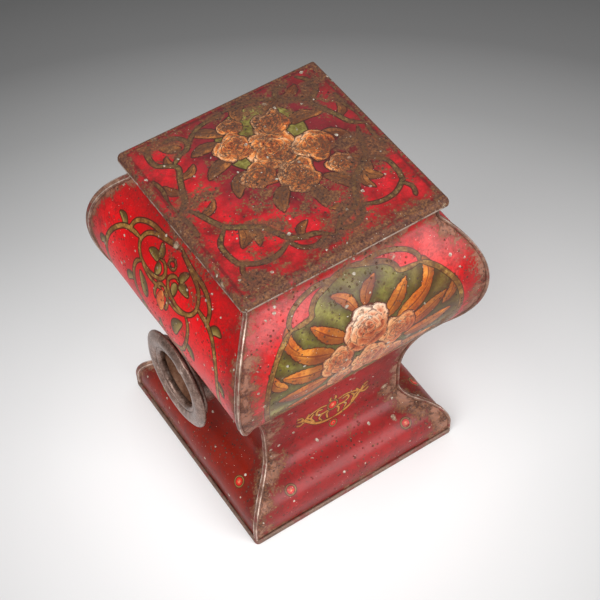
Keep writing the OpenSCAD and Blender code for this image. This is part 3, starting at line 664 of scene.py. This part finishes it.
vine = [(0.95, (0, 174.5), (7, 172.5), (13, 171.7), (19.7, 171.2), (25.5, 169.3), (30, 166), (31.5, 162),
         (31, 159.5)),
        (0.85, (2, 173), (7, 172), (13.5, 170.3), (18, 168.6), (21.3, 165.9), (23, 162.2), (22.7, 158.8),
         (20.2, 155.3), (16.5, 153.4), (11.5, 152.7), (6.5, 153.9), (3.3, 155.6), (1.5, 158.8),
         (2.2, 161.2), (4.7, 163.2), (7.5, 162.7)),
        (1, (23.2, 161.7), (27, 161.2), (31, 160.6), (36, 158.5), (41, 153.5), (45, 146.5), (47, 138),
         (46.5, 128), (44, 115), (40, 104), (35, 96)),
        (0.8, (0, 154.6), (2.8, 153.3), (4.6, 150.5), (5, 147), (4, 144)),
        (0.7, (1.3, 151.7), (7.1, 150.6), (12.4, 150.9), (17.8, 153.2)),
        (0.85, (18, 153.5), (21.3, 150.5), (22.5, 145.5), (21.5, 139), (18.5, 132.5), (12, 127.5),
         (5, 125.5), (1, 129), (0, 134)), (0.5, (0, 168.5), (2.2, 166.8), (2, 164.8), (0, 164))]
vine_leaves = [(1.7, (7, 160.3), (6.6, 158), (7.5, 155.4)), (1.8, (9, 161.5), (12, 162.4), (15.8, 161.6)),
               (1.5, (8.3, 163.5), (8.6, 166), (10.6, 169)), (2.5, (12.2, 137.6), (13.2, 143), (17.4, 148)),
               (1.7, (21.6, 140), (25.5, 138.5), (27.5, 134.5)),
               (1.6, (14.6, 129), (16.8, 125.6), (15.8, 122)),
               (1.5, (34.6, 159), (37.6, 161.8), (41.4, 162)),
               (1.5, (46.6, 141), (50.2, 139.5), (51.8, 136))]
bud = [(3, (0, 141), (0, 146), (0, 152))]

for name, turn, seed, hole in (("lens_panel", math.pi / 2, 5, True), ("lamp_panel", -math.pi / 2, 6, False)):
    # Rows and columns are even across the square of cells that the bore takes out
    rising = run < 140
    low, middle, high = np.interp(lens_z + np.array([-1, 0, 1]) * patch, outline[rising, 1], run[rising])
    waist_half = np.interp(middle, run, outline[:, 0])
    rows = steps((0, low, 75), (low, high, 33), (high, run[-1], 140))
    edge_part = patch / waist_half
    parts = steps((-1, -edge_part, 52), (-edge_part, edge_part, 41), (edge_part, 1, 53))
    part, along = np.meshgrid(parts, rows)
    if hole:
        across, along, cut = bored(part, along, waist_half)
    else:
        across = part * np.interp(along, run, outline[:, 0])
        cut = np.zeros((len(rows) - 1, len(parts) - 1), bool)
    half = np.interp(along, run, outline[:, 0])
    points, _ = wall_points(across / half, along, turn, seed)
    faces = grid_faces(*part.shape)[:, ::-1][~cut.ravel()]
    used = np.unique(faces)
    index = np.zeros(part.size, int)
    index[used] = np.arange(len(used))
    piece = shown(name + "_print", points.reshape(-1, 3)[used] / 1000, index[faces].tolist(),
                  tin_print(name + "_print", vine_paint, foot=(136, 30, 14), shine=0.18),
                  bare_inside.material)
    wall = piece.modifiers.new("thickness", "SOLIDIFY")
    wall.thickness, wall.offset, wall.material_offset = sheet / 1000, -1, 1
    x, s_at = -across.ravel()[used], along.ravel()[used]
    ax = np.abs(x)
    gold, _ = drawn(ax, s_at, vine)
    leaf, leaf_tone = drawn(ax, s_at, vine_leaves, leaves=True)
    bud_edge, bud_tone = drawn(x, s_at, bud, leaves=True)
    half = half.ravel()[used]
    written(piece, gold=gold, leaf=leaf, leaf_tone=leaf_tone, bud=bud_edge, bud_tone=bud_tone,
            jewel=np.hypot(ax - jewel_across, s_at - jewel_along), edge=worn_from(half - ax, s_at, 0.8))
    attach(piece, "case")
    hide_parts(name)


# ---- Corner seams ----
# At each corner the sheets are hooked together and folded flat on the side face. The fold runs from
# the rim to the neck, and its paint is rubbed through to scratched tin, bright on the crests, where painted
# highlight lines are laid as well.
def seam_ring(at):
    """The seam's section at places along the outline: two ridges on the side face with a groove
    between them, then round the corner and a narrow lip on the front face."""
    half, height, out, up = (v[:, None] for v in on_outline(at))
    side = [(3.15, -0.1), (3.1, 0.3), (2.85, 0.72), (2.45, 0.92), (2.0, 0.9), (1.65, 0.62), (1.3, 0.86),
            (0.9, 1.0), (0.45, 0.96), (0.1, 0.72)]
    front = [(0.1, 0.72), (0.45, 0.95), (0.8, 0.8), (1.05, 0.35), (1.1, -0.1)]
    blocks = []
    for section, front_face in ((side, False), (front, True)):
        inset, lift = (np.array(v)[None, :] for v in zip(*section))
        face, other = half + out * lift, half + out * np.maximum(lift, 0.6) - inset
        z = height + up * lift
        blocks.append(np.stack([other, face, z] if front_face else [face, other, z], -1))
    blocks.append(np.stack([half - 0.5, half - 1.0, height], -1))
    return np.concatenate(blocks, 1)


seam_metal = Finish("seam_metal")
smear = seam_metal.noise(0.16, 5.0, 0.65)
speck = seam_metal.noise(1.1, 4.0, 0.7)
crest = read(seam_metal, "crest")
brown = seam_metal.ramp(smear * 0.6 + speck * 0.4, (0.34, 76, 48, 38), (0.5, 128, 90, 72),
                        (0.64, 176, 136, 114))
bright = seam_metal.ramp(smear * 0.7 + speck * 0.3, (0.38, 170, 134, 116), (0.60, 240, 220, 206))
# Bright tin on the crests of the ridges: partly rubbed-through metal, partly painted highlight lines
polish_and_highlight = seam_metal.rise(crest + (smear - 0.5) * 0.9, 0.55, 0.95)
colour = seam_metal.mix(polish_and_highlight, brown, bright)
left_red = seam_metal.rise(seam_metal.noise(0.22, 4.0, 0.6), 0.52, 0.60) * (1 - polish_and_highlight)
seam_metal.surface({
    "Base Color": seam_metal.mix(left_red * 0.7, colour, (126, 34, 30)), "Metallic": polish_and_highlight * 0.6 + 0.1,
    "Roughness": speck * 0.25 + 0.28, "Normal": seam_metal.bump(speck * 0.6 + smear, 0.00012)})
stations = np.linspace(2.0, run[-1] - 0.2, 260)
ring = seam_ring(stations)
count = ring.shape[1]
blocks, quads, caps = [], [], []
for k, (mx, my) in enumerate(((1, 1), (-1, 1), (-1, -1), (1, -1))):
    blocks.append(ring.reshape(-1, 3) * (mx, my, 1) / 1000)
    turned = grid_faces(*ring.shape[:2], wrap=True)
    quads.append((turned if mx * my > 0 else turned[:, ::-1]) + k * ring.shape[0] * count)
    for end, flip in ((0, mx * my > 0), (ring.shape[0] - 1, mx * my < 0)):
        cap = [k * ring.shape[0] * count + end * count + j for j in range(count)]
        caps.append(cap if not flip else cap[::-1])
piece = shown("folded_seams", np.concatenate(blocks), np.concatenate(quads).tolist() + caps,
              seam_metal.material)
crest_of = [0, 0, 0.2, 1.0, 0.3, 0, 0, 0.3, 0.4, 1.0, 1.0, 0.3, 0, 0, 0, 0]
written(piece, crest=np.tile(crest_of, 4 * len(stations)))
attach(piece, "case")
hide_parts("corner_seams")


# ---- Base pan ----
# The tin pan that closes the casing below. Its edge is turned up round the foot in two rolled beads,
# which are rubbed bright by handling, and it stands on the narrow ring round its floor.
def rounded(loop, half, radius):
    """Square rings, one for each half width: the unit square's loop scaled up, with what lies beyond
    the middles of its corners pulled in to the radius."""
    half, radius = (np.reshape(v, (-1, 1, 1)) for v in (half, radius))
    ring = loop * half
    beyond = np.maximum(np.abs(ring) - (half - radius), 0)
    reach = np.maximum(np.hypot(beyond[..., :1], beyond[..., 1:]), 1e-9)
    pulled = np.sign(ring) * (half - radius + beyond * (radius / reach))
    return np.where((beyond > 0).all(-1, keepdims=True), pulled, ring)


base_paint = Finish("base_paint")
smear = base_paint.noise(0.10, 5.0, 0.65)
speck = base_paint.noise(1.0, 4.0, 0.7)
paint_left = base_paint.rise(smear * 0.8 + speck * 0.2, 0.50, 0.56)
metal = base_paint.ramp(speck * 0.5 + smear * 0.5, (0.3, 72, 50, 42), (0.5, 124, 98, 84),
                        (0.68, 168, 148, 132))
base_paint.surface({
    "Base Color": base_paint.mix(paint_left * 0.85, metal, (112, 34, 28)), "Metallic": 0.4 - paint_left * 0.4,
    "Roughness": speck * 0.2 + 0.36, "Normal": base_paint.bump(speck + smear, 0.0001)})
edge = [(53.5, 1.2), (53.5, 0.0), (57.1, 0.0), (57.5, 0.3), (57.65, 0.85), (57.5, 1.3), (57.2, 1.5),
        (57.5, 1.75), (57.65, 2.2), (57.5, 2.7), (57.05, 3.0), (56.45, 3.05), (56.32, 2.7), (56.32, 1.2),
        (55.5, 1.2), (55.5, 2.0)]
step = np.linspace(-1, 1, 56, endpoint=False)
step = np.sign(step) * np.abs(step) ** 0.8
side = np.stack([step, np.full(len(step), -1.0)], -1)
square = np.concatenate([side, side[:, ::-1] * (-1, 1), -side, side[:, ::-1] * (1, -1)])
turns = len(square)
half, z = np.array(edge).T
rings = rounded(square, half, np.maximum(2.0 - (half.max() - half), 0.25))
rings = np.dstack([rings, np.tile(z[:, None], turns)])
faces = grid_faces(len(edge), turns, wrap=True).tolist()
faces.append(list(range(turns))[::-1])
faces.append([(len(edge) - 1) * turns + j for j in range(turns)])
piece = shown("base_rim", rings / 1000, faces, base_paint.material)
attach(piece, "case")
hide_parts("base_pan")


# ---- Lid ----
# One pressed sheet of tinplate with a pillowed top, a rounded border and a wired lower edge. A
# bouquet on a green ground is embossed on it, inside a frame of gold vines; most of it is worn.
lid_half, crown_z, border_z, border_half = 51.0, 174.9, 172.35, 47.2


def lid_surface(x, y):
    """Height of the pressed top: a slightly uneven pillow, highest in the middle, over its border."""
    pillow = (crown_z - border_z) * (1 - (x / 50) ** 2) * (1 - (y / 50) ** 2)
    return border_z + pillow + 0.16 * ripple(x, y, 11) - 0.12


def lid_paint(finish, colour):
    """Darker red round the picture, green disc, roses and leaves, and the frame of vines."""
    mottle, streak = finish.noise(0.12, 4.0, 0.6), finish.noise(0.6, 5.0, 0.72)
    disc, leaf, rose = read(finish, "disc"), read(finish, "leaf"), read(finish, "rose")
    leaf, rose = leaf + (streak - 0.5) * 1.6, rose + (streak - 0.5) * 1.6
    red = finish.ramp(mottle, (0.34, 144, 16, 22), (0.48, 206, 20, 30), (0.62, 234, 30, 42))
    near = finish.rise(disc.math("MINIMUM", rose), 24.0, 3.0)
    red = finish.mix(finish.rise(streak, 0.42, 0.62) * 0.3, red, (112, 44, 44))
    colour = finish.mix(near * 0.92, red, finish.ramp(mottle * 0.7 + streak * 0.3, (0.36, 80, 24, 28),
                                                      (0.58, 136, 36, 44)))
    # The back and right parts are darker and duller, in patches, and dirt lies in the groove inside the
    # border
    back_right_dulling = finish.rise(finish.place(0) * 0.6 + finish.place(1) + (mottle - 0.5) * 60, 0, 52)
    colour = finish.mix(back_right_dulling * 0.55, colour, (112, 34, 42))
    groove = finish.rise((read(finish, "frame") - 3.4).math("ABSOLUTE"), 1.1, 0.3)
    colour = finish.mix(groove * 0.6, colour, (52, 28, 26))
    olive = finish.ramp(mottle * 0.5 + streak * 0.5, (0.36, 70, 56, 26), (0.48, 116, 106, 44),
                        (0.62, 158, 148, 78))
    colour = lined(finish, colour, disc, olive, (54, 34, 24), 0.35)
    tone = mottle * 0.5 + streak * 0.5
    brown_leaf = finish.ramp(tone, (0.38, 84, 50, 34), (0.50, 140, 84, 44), (0.62, 190, 120, 62))
    brown_leaf = veined(finish, leaf, read(finish, "leaf_tone"), brown_leaf, (70, 40, 30))
    colour = lined(finish, colour, leaf, brown_leaf, (56, 34, 26), 0.28)
    blush = finish.ramp(read(finish, "petal") + (streak - 0.5) * 1.5, (0.0, 92, 44, 32),
                        (0.28, 190, 92, 44), (0.55, 240, 146, 70), (0.9, 250, 196, 150))
    blush = finish.mix(finish.rise(read(finish, "fold"), 0.8, 0.3) * 0.85, blush, (66, 38, 30))
    colour = lined(finish, colour, rose, blush, (60, 36, 28), 0.35)
    gold = read(finish, "gold")
    tarnish = finish.ramp(streak, (0.36, 58, 44, 28), (0.5, 104, 80, 46), (0.64, 146, 116, 66))
    return lined(finish, colour, gold, tarnish, (50, 34, 24), half=0.3)


lid_vine = [(1.05, (47, 4.5), (41.3, 9), (39, 15), (36.5, 21), (34, 28), (40.6, 33.9), (40.7, 41.2),
             (37.8, 45.4)),
            (0.95, (34.9, 28.9), (29.4, 33.3), (25.1, 34.5), (23, 39), (26, 43.5), (31.5, 44)),
            (0.85, (25.1, 34.5), (20, 39.5), (13, 43.5), (0, 45)),
            (1.05, (42.3, 4), (40, -0.5), (38, -6), (35.6, -11.3), (33.4, -13.6), (28.5, -17),
             (22.7, -21.2), (19.6, -26.7), (16.9, -31.4), (12, -34.5), (5.9, -36.2), (0, -41)),
            (0.95, (35.2, -12.3), (40.9, -18.2), (41.8, -23.8), (40.9, -29.8), (39.4, -32.2), (33, -36),
             (25, -36.5), (18, -33.6)), (0.85, (3.7, -39.5), (9.5, -41), (15, -38.5), (18, -33.6)),
            (0.8, (39.4, -32.2), (41.5, -37), (40, -41.5)),
            (0.8, (47, 4.5), (47.5, 12), (45.6, 20), (46.2, 27)), (0.8, (47, 4.5), (45.8, -3), (46.3, -10))]
lid_leaves = [(1.9, (39.5, 14), (43, 17), (44, 22)), (1.9, (36.5, 21), (31, 21.5), (27.5, 25)),
              (1.8, (40, -2), (35, -1), (31, 2.5)), (2.7, (29.5, -16.6), (30.5, -21.5), (35, -25.5)),
              (2.1, (30, -17), (26.5, -23), (28.5, -29)), (1.8, (12, -34.5), (10, -30.5), (5.5, -28.5)),
              (2.3, (27, 37), (31, 38.5), (34.5, 41.5)), (1.6, (34, 28), (36, 32), (34.5, 36))]
bouquet_leaves = [(3, (-8, 32), (-14, 38), (-20, 41)), (3, (-12, 28), (-19, 30), (-26, 29)),
                  (3.2, (-12, 18), (-20, 17), (-27, 13)), (3, (-12, 8), (-18, 4), (-22, -3)),
                  (2.8, (2, 36), (4, 42), (10, 45)), (3, (14, 32), (20, 37), (27, 38)),
                  (3.2, (18, 22), (26, 23), (33, 20)), (3, (24, 8), (31, 7), (37, 3)),
                  (3.2, (-2, -8), (-8, -13), (-11, -20)), (3.2, (6, -12), (7, -20), (5, -27)),
                  (3, (14, -12), (20, -19), (22, -27)), (2.8, (26, -8), (32, -13), (33, -20))]
bouquet = [(4, 13, 12, 0.4), (-9, 23, 8.5, 1.3), (12, 27, 8.5, 2.2), (20, 5, 9.5, 0.9), (5, -6, 9.5, 1.8),
           (-9, 3, 7.5, 2.6), (24, -10, 6.5, 0.2), (-4, 35, 5.5, 1)]
count, coarse = 241, 61
step = np.linspace(-border_half, border_half, count)
y, x = np.meshgrid(step, step, indexing="ij")
gold, _ = drawn(np.abs(x), y, lid_vine)
small, small_tone = drawn(np.abs(x), y, lid_leaves, leaves=True)
broad, broad_tone = drawn(x, y, bouquet_leaves, leaves=True)
leaf, leaf_tone = np.minimum(small, broad), np.where(small < broad, small_tone, broad_tone)
warp = 1.3 * ripple(4 * x, 4 * y, 21), 1.3 * ripple(4 * x, 4 * y, 22)
rose, petal, fold = roses(x + warp[0], y + warp[1], bouquet)
disc = np.hypot(x - 4.5, y - 21.5) - 20.0
picture = np.minimum(broad, rose)
raised = 0.55 * np.clip(-rose / 2.0, 0, 1) * (0.45 + 0.4 * np.clip(petal, 0, 1)) \
    + 0.3 * np.clip(-broad / 1.2, 0, 1) + 0.12 * np.clip(-gold / 0.6, 0, 1)
top = lid_surface(x, y) + raised
low_x, low_y = x[::4, ::4], y[::4, ::4]
under = lid_surface(low_x, low_y) - sheet
loop = border_of(count, count)
turned_down = [(47.7, 172.18), (48.3, 172.3), (49.1, 172.36), (49.9, 171.95), (50.55, 171.0), (50.95, 169.95),
               (51.0, 169.3), (50.9, 169.05), (51.02, 168.85), (51.06, 168.5), (51.02, 168.15),
               (50.8, 167.99), (50.5, 168.05)]
turned_in = [(50.4, 168.3), (50.3, 169.4), (49.9, 170.4), (49.3, 171.1), (48.4, 171.5), (47.6, 171.55)]
half, z = np.array(turned_down + turned_in).T
base_loop = np.stack([x.ravel()[loop], y.ravel()[loop]], -1)
strip = rounded(base_loop / border_half, half, np.maximum(2.5 - (51.5 - half), 0.4))
strip = np.dstack([strip, np.tile(z[:, None], len(loop))])
points = np.concatenate([np.stack([x, y, top], -1).reshape(-1, 3), strip.reshape(-1, 3),
                         np.stack([low_x, low_y, under], -1).reshape(-1, 3)])
total, below = count * count, count * count + len(strip) * len(loop)
ring_index = np.vstack([loop, np.arange(total, below).reshape(len(strip), -1)])
following = np.roll(ring_index, -1, axis=1)
band = np.stack([ring_index[1:], following[1:], following[:-1], ring_index[:-1]], -1)
split = len(turned_down)
painted = grid_faces(count, count).tolist() + band[:split].reshape(-1, 4).tolist()
hidden = band[split:].reshape(-1, 4).tolist() + (grid_faces(coarse, coarse)[:, ::-1] + below).tolist() \
    + rim(ring_index[-1], border_of(coarse, coarse) + below)[:, ::-1].tolist()
piece = shown("lid_print", points / 1000, painted,
              tin_print("lid_print", lid_paint, patches=0.545, embossed=True), bare_inside.material,
              hidden=hidden)


def over(values, border=0.0):
    """Values on the top's grid and on the underside's, with one value for the border between them."""
    return both_skins(values, np.full(below - total, border))


px, py = points[:, 0], points[:, 1]
from_edge = lid_half - np.maximum(np.abs(px), np.abs(py))
edge = np.minimum.reduce([(51.5 + px) * 0.7, (51.5 + py) * 0.45, 51.5 - px, (51.5 - py) * 1.4,
                          from_edge * 2.4 + 1])
# Places where hands and damp have taken most of the print
for cx, cy, wide, deep in ((33, 0, 15, 8), (40, -8, 8, 14), (-6, -42, 22, 6), (40, 38, 12, 6),
                           (-40, -42, 12, 10)):
    edge = np.minimum(edge, (np.hypot((px - cx) / wide, (py - cy) / deep) - 0.7) * deep * 1.4 + 4)
written(piece, gold=over(gold, 9.0), leaf=over(leaf, 9.0), leaf_tone=over(leaf_tone), rose=over(rose, 20.0),
        petal=over(petal), fold=over(fold, 9.0), disc=over(disc, 20.0), edge=edge, frame=from_edge,
        raised=over(np.clip(-picture / 1.5, 0, 1) + 0.7 * np.exp(-np.maximum(gold, 0) / 1.8)))
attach(piece, "lid")
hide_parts("lid_shell")


# ---- Lens mount and its socket ----
# The ring round the lens is spun from iron sheet: a beaded rim, a rounded front and a lip that curls
# into the draw tube, to which it is soldered. Ring and socket are browned, and the tube is rusty, in a
# lighter brown that is painted light inside the bore.
def turned_ring(name, section, front, seam_angle, material):
    """A closed section of (radius, distance towards the left) turned about the lens axis. The
    section's front, where front is 1, is raised along one side of the seam where its ends overlap."""
    turns = 144
    angle = np.linspace(0, 2 * math.pi, turns, endpoint=False)
    apart = (angle - seam_angle + math.pi) % (2 * math.pi) - math.pi
    radius, out = section[:, :1], section[:, 1:] + 0 * angle
    out = out + 0.35 * (apart > 0) * np.exp(-(apart / 0.16) ** 2) * front[:, None]
    points = np.stack([-out, radius * np.sin(angle), lens_z + radius * np.cos(angle)], -1) / 1000
    faces = grid_faces(len(section) + 1, turns, wrap=True) % (len(section) * turns)
    return shown(name, points, faces.tolist(), material)


browned = Finish("browned_iron")
cloud = browned.noise(0.14, 5.0, 0.62)
speck = browned.noise(1.2, 4.0, 0.7)
streak = browned.noise(0.5, 5.0, 0.6, 1.2)
colour = browned.ramp(cloud * 0.4 + streak * 0.35 + speck * 0.25, (0.36, 60, 42, 34), (0.45, 108, 82, 70),
                      (0.55, 150, 122, 110), (0.64, 204, 182, 168))
browned.surface({"Base Color": colour, "Metallic": 0.45, "Roughness": cloud * 0.3 + 0.16,
                 "Normal": browned.bump(speck * 0.6 + streak * 0.4, 0.00012)})
inwards = np.linspace(0, 1, 14)
front = np.column_stack([24.4 - 7.8 * inwards, 61.0 + 1.9 * np.sin(math.pi * (0.08 + 0.8 * inwards))])
curl = np.linspace(1.2, math.pi, 10)
lip = np.column_stack([16.0 + 1.66 * np.cos(curl), 60.15 + 1.66 * np.sin(curl)])
back = np.column_stack([16.0 + 0.86 * np.cos(curl[::-1]), 60.15 + 0.86 * np.sin(curl[::-1])])
bead = [(24.0 + 1.05 * math.cos(a), 60.55 + 1.05 * math.sin(a)) for a in np.linspace(-2.4, 1.0, 14)]
section = np.concatenate([bead, front, lip, [(14.34, 58.3), (15.14, 58.3)], back,
                          (front - (0, sheet))[::-1][:-1]])
face_part = np.concatenate([np.zeros(10), np.ones(4 + len(front)), np.full(len(lip), 0.6),
                            np.zeros(2 + len(back) + len(front) - 1)])
piece = turned_ring("rounded_ring", section, face_part, -0.5, browned.material)
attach(piece, "lens_mount")
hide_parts("lens_ring")


# ---- Pieces inside, hinge and collar ----
# These keep the solids' own form. Each finish is what the real piece is made of: bare and blackened
# tinplate, drawn steel, lacquered brass, polished tin, glass and woven cotton.
def evenly(*colours):
    """Ramp stops for these colours, evenly spaced from 0.3 to 0.7."""
    return [(0.3 + 0.4 * k / (len(colours) - 1), *c) for k, c in enumerate(colours)]


def metal_finish(name, metallic, rough, *colours):
    """Clouded and specked metal, from its darkest colour to its palest."""
    finish = Finish(name)
    cloud, speck = finish.noise(0.2, 5.0, 0.62), finish.noise(1.6, 4.0, 0.7)
    return finish.surface({
        "Base Color": finish.ramp(cloud * 0.75 + speck * 0.25, *evenly(*colours)), "Metallic": metallic,
        "Roughness": cloud * 0.3 + rough, "Normal": finish.bump(speck, 0.00006)})


def glass_finish(name, tint, rough):
    """Clear glass with a haze of dust."""
    finish = Finish(name)
    haze = finish.rise(finish.noise(0.15, 4.0, 0.6), 0.45, 0.8)
    return finish.surface({"Base Color": tint, "Roughness": haze * 0.12 + rough,
                           "Transmission Weight": 1.0, "IOR": 1.5})


weave = Finish("woven_cotton")
threads = weave.node("TexWave", {"wave_type": "BANDS", "bands_direction": "DIAGONAL"},
                     {"Vector": weave.place(), "Scale": 0.45, "Distortion": 1.0})
cotton = weave.ramp(threads, *evenly((176, 158, 122), (206, 192, 158)))
charred = weave.rise(weave.place(2), 58, 63)
weave.surface({"Base Color": weave.mix(charred, cotton, (38, 32, 28)), "Roughness": 0.95,
               "Normal": weave.bump(threads, 0.0002)})
finish_of = {
    bare_inside.material: (
        "lid_collar", "lid_inner_band", "lens_retainers", "condenser_cell", "reflector_stem"),
    browned.material: ("lens_socket",),
    weave.material: ("wick",),
    metal_finish("blackened_tin", 0.45, 0.4, (24, 22, 21), (44, 40, 37), (78, 66, 56)): (
        "stage_partition", "slide_rails", "lamp_seat"),
    # Painted light: the draw tube's rusty brown is made lighter to stand for light falling into the bore
    metal_finish("rusty_tube_painted_light", 0.3, 0.3, (84, 56, 42), (142, 98, 74), (176, 140, 116)): ("draw_tube",),
    metal_finish("hinge_steel", 0.8, 0.25, (70, 52, 44), (112, 98, 88), (158, 148, 138)): (
        "lid_hinge_leaf", "neck_hinge_leaf", "hinge_pin"),
    metal_finish("old_brass", 0.95, 0.18, (96, 72, 38), (156, 124, 64), (192, 160, 92)): (
        "oil_reservoir", "filler_cap", "burner", "wick_winder", "chimney_gallery"),
    metal_finish("polished_tin", 1.0, 0.05, (150, 142, 132), (196, 192, 186), (216, 214, 210)): (
        "reflector",),
    glass_finish("lens_glass", (0.93, 0.97, 0.96, 1), 0.01): ("objective_lens", "condenser_lens"),
    glass_finish("chimney_glass", (0.96, 0.97, 0.95, 1), 0.03): ("chimney",)}
for material, names in finish_of.items():
    for holder in (slot for name in names for slot in nodes[name].material_slots):
        holder.material = material
